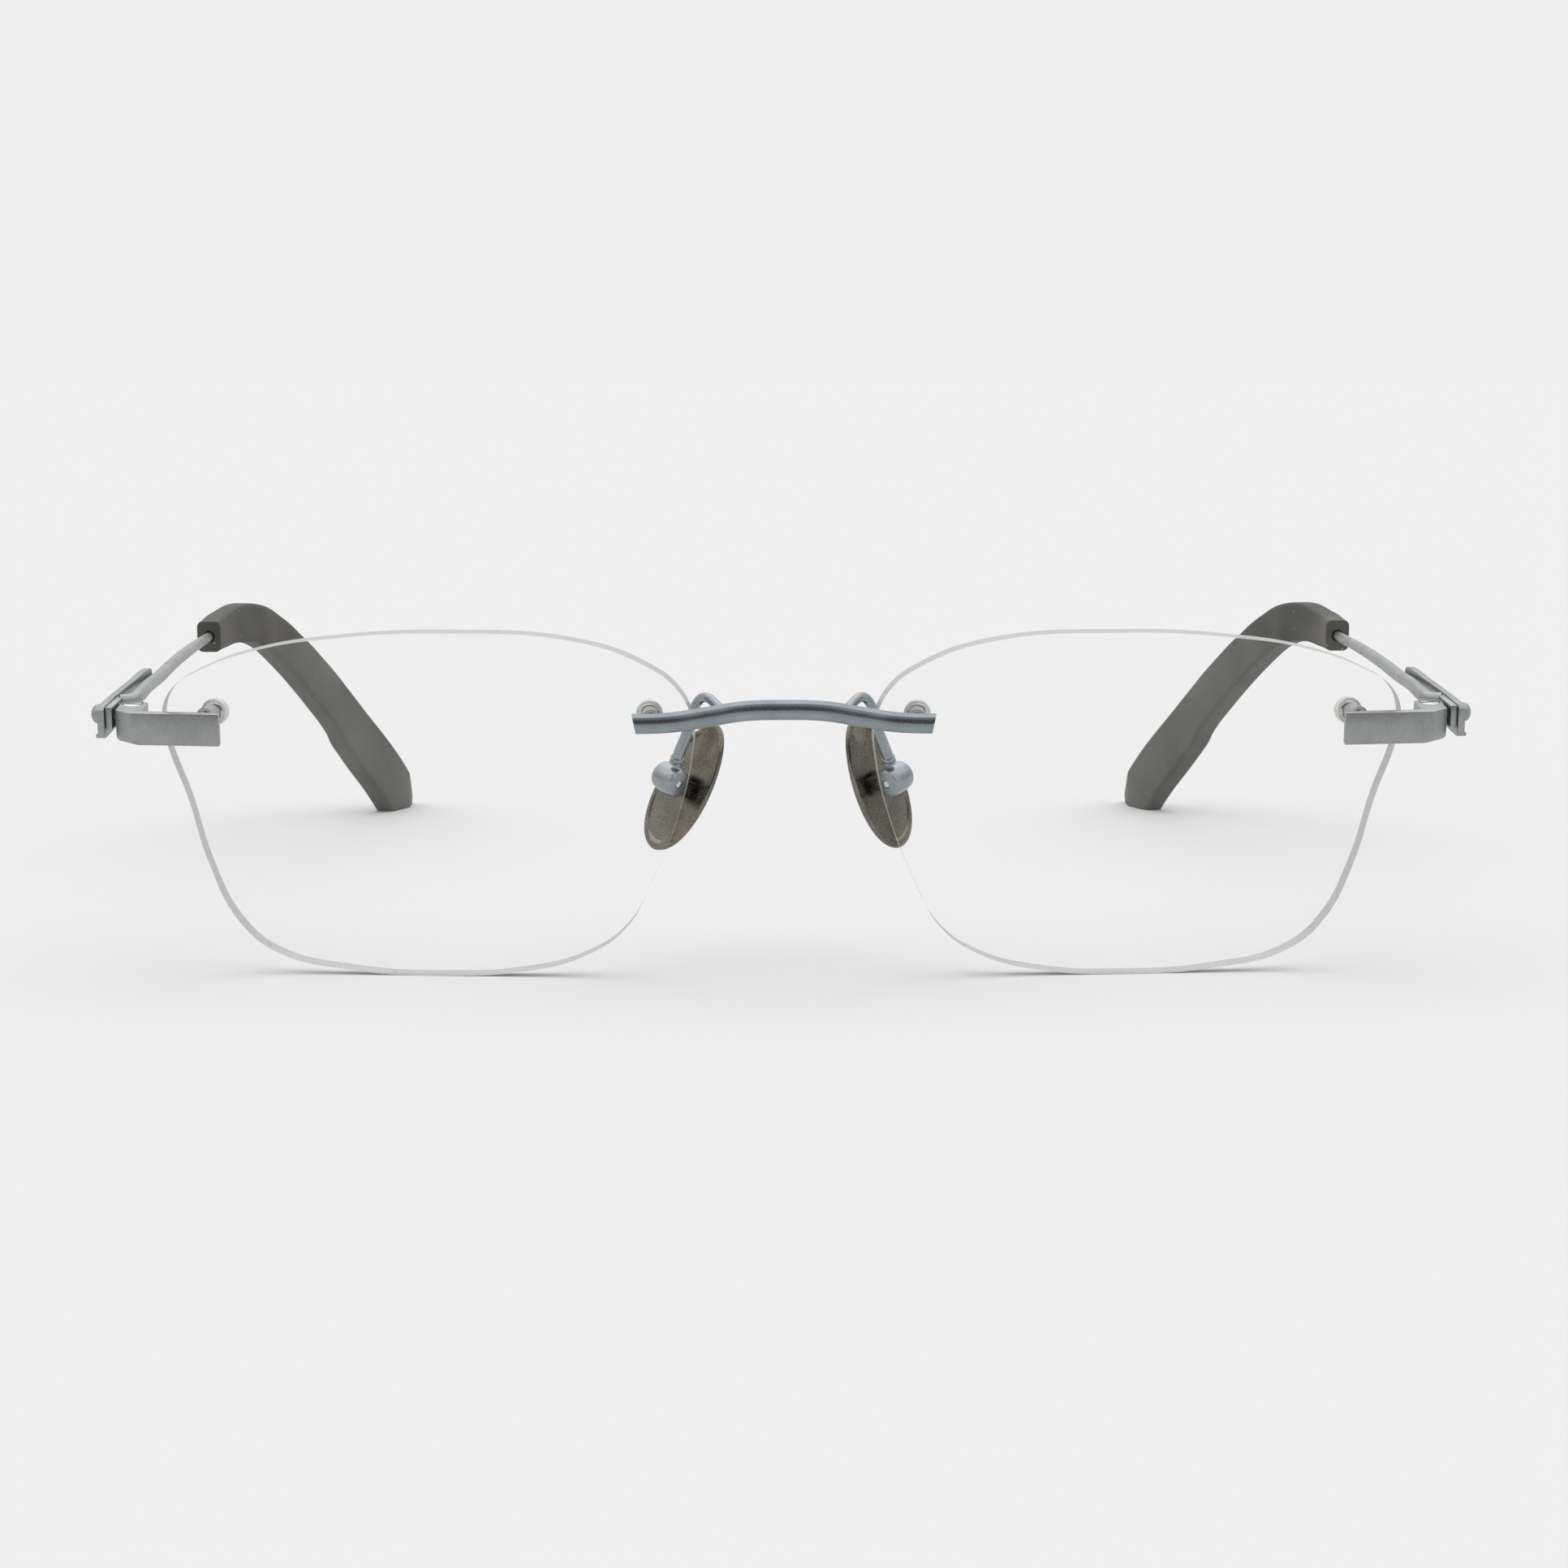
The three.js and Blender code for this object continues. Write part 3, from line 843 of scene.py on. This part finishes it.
bar = {
    # from the hinge point: a curl at the plate, then straight back
    "front": [(1.8, 2.4, 1.6), (1.35, 2.6, 1.62), (0.6, 3.3, 1.68), (0.38, 5, 1.9)],
    "middle": [(0.25, 10, 2.45), (0.3, 17.5, 2.75), (1.0, 30, 3.0), (2.1, 50, 3.1)],
    # over the ear and down inside the tip, which runs on past the bar's end
    "overEar": [
        (3.1, 71.5, 3.0), (2.7, 77.5, 3.4), (1.5, 85.5, 3.7), (0, 91.5, 2.9), (-1.2, 96.8, 1.1),
        (-2.8, 102.8, -1.8), (-4.4, 108.5, -5.0), (-6.0, 113.2, -8.2), (-7.6, 117.9, -11.6),
    ],
    "radii": [0.75] * 4 + [0.69] * 2 + [0.67, 0.65] + [0.58] * 9,
    "tongueRadius": 1.35,
    "tongueHalf": 0.45,
    "tongueSoftness": 0.1,
    # lowest and highest corners: what joins the tongue to the plate, and the gap before it
    "neck": ((0, -2.3), (2.1, 1.3)),
    "throat": ((0.2, -4, -3), (1.62, -1.45, 3)),
    "riser": ((-0.75, 0.35), (-0.03, 5.7)),
    "riserTop": 1.85,
    "riserSoftness": 0.12,
}


def rivetHole():
    y, z = rivet["place"]
    drill = addRod("rivetHole", rivet["shankRadius"] + hinge["gap"], -3, 3, "X")
    return shift(drill, moved(0, y, z))


def makeTempleBar():
    piece = drawWire("bar", bar["front"] + bar["middle"] + bar["overEar"], bar["radii"])
    half = bar["tongueHalf"]
    low, high = bar["neck"]
    tongue = addRod("tongue", bar["tongueRadius"], -half, half, "Z")
    carve(tongue, addBlock("neck", (*low, -half), (*high, half)), "UNION")
    carve(tongue, addBlock("throat", *bar["throat"]))
    clean(tongue, flatten=True)
    softenEdges(tongue, bar["tongueSoftness"])
    low, high = bar["riser"]
    riser = addBlock("riser", (*low, -half), (*high, bar["riserTop"]))
    softenEdges(riser, bar["riserSoftness"])
    plateInHinge = hingeFrame.inverted() @ plateFrame
    shift(riser, plateInHinge)
    carve(tongue, riser, "UNION")
    carve(tongue, addRod("screwHole", hinge["screwRadius"] + hinge["gap"], -4, 4, "Z"))
    carve(tongue, shift(rivetHole(), plateInHinge))
    shift(tongue, leaning)
    carve(piece, tongue, "UNION")
    clean(piece)
    place(piece, "temple_bar", "titanium", blastedTitanium, templeFrame)


plate = {
    "thickness": 0.7,
    # seen from outside: back and up
    "outline": [
        (0.35, 1.95, "corner"), (0, 1.6, "corner"), (0, -1.0, "corner"), (0.15, -1.3, "corner"),
        (0.5, -1.4, "corner"), (3.5, -1.35), (8, -1.1), (14, -0.7), (18, -0.65), (21.2, -0.5),
        (22.0, -0.15), (22.3, 0.6), (22.0, 1.25), (21.1, 1.5), (14, 1.7), (7, 1.9),
    ],
    "window": [
        (3.0, -0.55, "corner"), (8.4, -0.45, "corner"), (9.0, -0.1, "corner"),
        (9.2, 0.4, "corner"), (8.6, 1.2, "corner"), (3.0, 1.3, "corner"),
    ],
    "edgeBreak": 0.12,
    # the lip that stands out along the lower edge: back and up, from and to
    "lip": ((0.3, -1.38), (9, -0.95)),
    "lipHalf": 0.3,
    "lipSoftness": 0.13,
}


def makeTemplePlate():
    thickness = plate["thickness"]
    piece = cutFromSheet("plate", plate["outline"], thickness, holes=[plate["window"]])
    # cut lying down, then stood up
    standUp = Matrix(((0, 0, 1, 0), (1, 0, 0, 0), (0, 1, 0, 0), (0, 0, 0, 1)))
    shift(piece, standUp)
    clean(piece)
    softenEdges(piece, plate["edgeBreak"])
    low, high = plate["lip"]
    half = plate["lipHalf"]
    lip = addBlock("lip", (thickness - half, *low), (thickness + half, *high))
    softenEdges(lip, plate["lipSoftness"], segments=3)
    carve(piece, lip, "UNION")
    carve(piece, rivetHole())
    clean(piece)
    place(piece, "temple_plate", "titanium", blastedTitanium, plateFrame)


rivet = {
    "place": (1.35, 0.95),  # on the plate: back and up
    "shankRadius": 0.45,
    "shankStart": -0.7,
    "domeRadius": 1.0,
    "domeHeight": 0.85,
    "rimHeight": 0.12,
}


def makePlateRivet():
    start = plate["thickness"] + 0.03
    shank, shankStart = rivet["shankRadius"], rivet["shankStart"]
    radius, height, rim = rivet["domeRadius"], rivet["domeHeight"], rivet["rimHeight"]
    profile = [(shank - 0.05, shankStart), (shank, shankStart + 0.05), (shank, start)]
    profile += [(radius - 0.04, start), (radius, start + 0.05)]
    for i in range(8):
        step = math.pi / 2 * i / 8
        profile.append((radius * math.cos(step), start + rim + (height - rim) * math.sin(step)))
    profile.append((0, start + height))
    piece = turnOnLathe("rivet", profile)
    y, z = rivet["place"]
    shift(piece, moved(0, y, z) @ turned(-90, "Z"))
    place(piece, "plate_rivet", "polished_steel", blastedTitanium, plateFrame)


tip = {
    "halfWidth": 1.45,
    "edgeRadius": 0.7,
    "drawnLength": 76,
    "cuts": 60,
    "pastBar": [(-9.7, 123.5, -16.0), (-12.1, 129.5, -20.9), (-14.8, 136.2, -27.6)],
    "endSide": -15.4,
    "endSoftness": 0.45,
    "boreRadius": 0.72,
    # along the tip: upper and lower half height at each share of its length
    "heights": [
        (0, 1.9, 1.9), (0.09, 2.15, 2.15), (0.2, 2.5, 2.5), (0.3, 2.65, 2.65), (0.4, 2.9, 2.8),
        (0.5, 3.15, 2.9), (0.62, 3.35, 2.95), (0.66, 3.4, 3.05), (0.7, 3.45, 3.65), (0.8, 3.65, 3.8),
        (0.92, 3.75, 3.85), (1, 3.5, 3.4),
    ],
}


def heightAt(share, column):
    rows = tip["heights"]
    for before, after in zip(rows, rows[1:]):
        if share <= after[0] + 1e-6:
            way = (share - before[0]) / (after[0] - before[0])
            eased = way * way * (3 - 2 * way)
            return before[column] + eased * (after[column] - before[column])
    return rows[-1][column]


def makeTempleTip():
    length, cuts = tip["drawnLength"], tip["cuts"]
    piece = addBlock("tip", (0, -tip["halfWidth"], -1), (length, tip["halfWidth"], 1))
    pick(piece, "EDGE", lambda a, b: abs(a.x - b.x) > 1)
    bpy.ops.mesh.subdivide(number_cuts=cuts)
    leaveEditing()
    for i in range(cuts + 2):
        x = length * i / (cuts + 1)
        for side, column in ((1, 1), (-1, 2)):
            pick(piece, "VERT", lambda place: abs(place.x - x) < 0.01 and place.z * side > 0)
            height = heightAt(i / (cuts + 1), column)
            bpy.ops.transform.resize(value=(1, 1, height), center_override=(x, 0, 0))
            leaveEditing()
    pick(piece, "EDGE", lambda a, b: abs(a.x - b.x) > 0.5)
    bpy.ops.mesh.bevel(offset=tip["edgeRadius"], segments=5)
    leaveEditing()
    bendAlong(piece, bar["overEar"] + tip["pastBar"])
    # it is cut off at the side and at the floor
    ends = [((tip["endSide"], 0, 0), (-1, 0, 0)), ((0, 0, -hingePoint.z), (0, 0, -1))]
    for point, normal in ends:
        pick(piece, "VERT", lambda place: True)
        bpy.ops.mesh.bisect(plane_co=point, plane_no=normal, use_fill=True, clear_outer=True)
        leaveEditing()
    clean(piece)
    softenEdges(piece, tip["endSoftness"], segments=4, angle=50)
    route = bar["middle"][2:] + bar["overEar"]
    carve(piece, drawWire("bore", route, [tip["boreRadius"]] * len(route)))
    clean(piece)
    place(piece, "temple_tip", "tip_plastic", smokeAcetate, templeFrame)


makeTempleBar()
makeTemplePlate()
makePlateRivet()
makeTempleTip()


# Nose pads, their boxes and arms

pad = {
    "armRoute": [
        (6.2, -0.1, 27.6), (6.8, 1.3, 28.3), (8.0, 3.2, 28.9), (8.9, 4.6, 28.0), (9.7, 6.3, 25.3),
        (10.7, 8.0, 22.6), (11.05, 8.6, 21.5),
    ],
    "armRadii": [0.5, 0.5, 0.5, 0.5, 0.55, 0.6, 0.6],
    "collarPlaces": (0.25, 0.75),  # before the arm's end
    "collarRadius": 0.74,
    "collarHalf": 0.15,
    "length": 14.6,
    "width": 7.2,
    "taper": -0.22,  # it widens downward
    "standOff": 2.2,
    "lugHalf": (0.85, 0.7),
    "eyeRadius": 0.78,
    "boxHalf": 1.5,
    "boxRadius": 1.6,
    "boxBulge": 0.45,
    "screwRadius": 0.4,
    "gap": 0.04,
    "rockLeft": 5,
    "rockRight": -5,
}


def makePadArm():
    piece = drawWire("arm", pad["armRoute"], pad["armRadii"])
    # two thin collars where the arm enters the box
    end, before = Vector(pad["armRoute"][-1]), Vector(pad["armRoute"][-2])
    lie = Vector((0, 1, 0)).rotation_difference(end - before).to_matrix().to_4x4()
    half = pad["collarHalf"]
    for distance in pad["collarPlaces"]:
        collar = addRod("collar", pad["collarRadius"], -half, half)
        softenEdges(collar, 0.1, segments=3)
        middle = end + (before - end).normalized() * distance
        carve(piece, shift(collar, Matrix.Translation(middle) @ lie), "UNION")
    clean(piece)
    place(piece, "pad_arm", "titanium", coolTitanium, drawnFrame)


def makePadBox():
    half, bulge = pad["boxHalf"], pad["boxBulge"]
    inner = pad["boxRadius"] - bulge
    profile = [(inner, -half)]
    for i in range(13):
        step = -math.pi / 2 + math.pi * i / 12
        profile.append((inner + bulge * math.cos(step) ** 0.5, (half - 0.02) * math.sin(step)))
    profile.append((inner - 0.02, half))
    piece = turnOnLathe("padBox", profile)
    carve(piece, addBlock("padSlot", (-3, -0.95, -1.2), (0.95, 0.95, 1.2)))
    carve(piece, addRod("padScrewHole", pad["screwRadius"] + pad["gap"], -3, 3))
    clean(piece)
    place(piece, "pad_box", "titanium", coolTitanium, padFrame)


def makePadScrew():
    half = pad["boxHalf"]
    full = pad["screwRadius"]
    end = full - 0.08
    piece = turnOnLathe(
        "padScrew", [(end, -half), (full, -half + 0.08), (full, half - 0.05), (end, half + 0.03)]
    )
    carve(piece, addBlock("padScrewSlot", (-1, half - 0.09, -0.08), (1, half + 1, 0.08)))
    place(piece, "pad_screw", "polished_steel", polishedSteel, padFrame)


def makeNosePad():
    wide, back = pad["width"] / 2, -pad["standOff"]
    # turned as a round dish: sunken outer face, raised rim, domed on the side of the nose
    piece = turnOnLathe(
        "nosePad",
        [
            (wide * 0.5, back - 0.14),
            (wide - 0.52, back - 0.14),
            (wide - 0.4, back + 0.02),
            (wide - 0.16, back + 0.04),
            (wide - 0.06, back - 0.05),
            (wide, back - 0.25),
            (wide - 0.04, back - 0.5),
            (wide - 0.3, back - 0.8),
            (wide - 0.9, back - 1.03),
            (wide * 0.4, back - 1.15),
        ],
    )
    # then drawn out to an egg
    pick(piece, "VERT", lambda place: True)
    stretch = pad["length"] / pad["width"]
    bpy.ops.transform.resize(value=(1, 1, stretch), center_override=(0, 0, 0))
    leaveEditing()
    modify(piece, "SIMPLE_DEFORM", deform_method="TAPER", deform_axis="Z", factor=pad["taper"])
    shift(piece, turned(-90, "Z"))
    # the lug's edges are softened before its eye is joined, or the join fails
    halfWide, halfTall = pad["lugHalf"]
    lug = addBlock("lug", (back - 0.3, -halfWide, -halfTall), (0, halfWide, halfTall))
    softenEdges(lug, 0.08)
    carve(lug, addRod("lugEye", pad["eyeRadius"], 0.01 - halfWide, halfWide - 0.01), "UNION")
    carve(piece, lug, "UNION")
    carve(piece, addRod("padScrewHole", pad["screwRadius"] + pad["gap"], -3, 3))
    clean(piece)
    place(
        piece,
        "nose_pad",
        "pad_titanium",
        tumbledTitanium,
        padFrame @ turned(pad["rockLeft"], "Y"),
        padFrame @ turned(pad["rockRight"], "Y"),
    )


makePadArm()
makePadBox()
makePadScrew()
makeNosePad()


# Stage

studio = {
    "backdrop": "#efefef",
    "floor": "#dcdcdc",
    "topLight": 0.6,  # added overhead
    "cameraSide": 0.02,  # what is left on the camera's side, where a dark room would be
    "sideLoss": 0.25,  # taken off at the far left and right
    "sunStrength": 0.3,
    "sunTilt": -35,
    "sunSpread": 50,
}


def makeFloor():
    bpy.ops.object.select_all(action="DESELECT")
    bpy.ops.mesh.primitive_plane_add(size=60)
    floor = bpy.context.object
    floor.name = "floor"
    material, tree = newMaterial("paleFloor")
    surface = addNode(
        tree,
        "BsdfPrincipled",
        {"Base Color": colourOf(studio["floor"]), "Roughness": 0.9, "Specular IOR Level": 0.0},
    )
    finishMaterial(tree, surface)
    floor.data.materials.append(material)


def lightStudio():
    world = bpy.data.worlds.new("softStudio")
    bpy.context.scene.world = world
    world.use_nodes = True
    tree = world.node_tree
    tree.nodes.clear()
    direction = addNode(tree, "TexCoord").outputs["Generated"]
    axes = addNode(tree, "SeparateXYZ", {"Vector": direction})
    above = addNode(
        tree,
        "MapRange",
        {
            "Value": axes.outputs["Z"],
            "From Min": 0.35,
            "From Max": 0.85,
            "To Max": studio["topLight"],
        },
        interpolation_type="SMOOTHSTEP",
    )
    camera = addNode(
        tree,
        "MapRange",
        {
            "Value": axes.outputs["Y"],
            "From Min": -0.7,
            "From Max": -0.92,
            "To Min": 1.0,
            "To Max": studio["cameraSide"],
        },
        interpolation_type="SMOOTHSTEP",
    )
    strength = addNode(
        tree,
        "Math",
        {0: above.outputs["Result"], 1: camera.outputs["Result"]},
        operation="ADD",
    )
    across = addNode(tree, "Math", {0: axes.outputs["X"]}, operation="ABSOLUTE")
    sides = addNode(
        tree,
        "MapRange",
        {
            "Value": across.outputs[0],
            "From Min": 0.8,
            "From Max": 0.97,
            "To Max": studio["sideLoss"],
        },
        interpolation_type="SMOOTHSTEP",
    )
    dimmed = addNode(
        tree,
        "Math",
        {0: strength.outputs[0], 1: sides.outputs["Result"]},
        operation="SUBTRACT",
    )
    light = addNode(
        tree,
        "Background",
        {"Color": colourOf(studio["backdrop"]), "Strength": dimmed.outputs[0]},
    )
    addNode(tree, "OutputWorld", {"Surface": light.outputs["Background"]})
    bpy.ops.object.light_add(type="SUN", rotation=(math.radians(studio["sunTilt"]), 0, 0))
    sun = bpy.context.object
    sun.name = "softLamp"
    sun.data.energy = studio["sunStrength"]
    sun.data.angle = math.radians(studio["sunSpread"])


view = {
    "place": (-0.005, -0.4137, 0.0615),
    "forward": (0.01456, 0.9927, -0.1196),
    "lens": 78.3,
}


def setCamera():
    scene = bpy.context.scene
    bpy.ops.object.camera_add(location=view["place"])
    camera = bpy.context.object
    camera.name = "frontCamera"
    camera.rotation_mode = "QUATERNION"
    camera.rotation_quaternion = Vector(view["forward"]).to_track_quat("-Z", "Y")
    camera.data.lens = view["lens"]
    camera.data.sensor_width = 36
    camera.data.clip_start = 0.01
    camera.data.clip_end = 100
    scene.camera = camera
    scene.view_settings.view_transform = "Standard"


makeFloor()
lightStudio()
setCamera()
print("stage set")
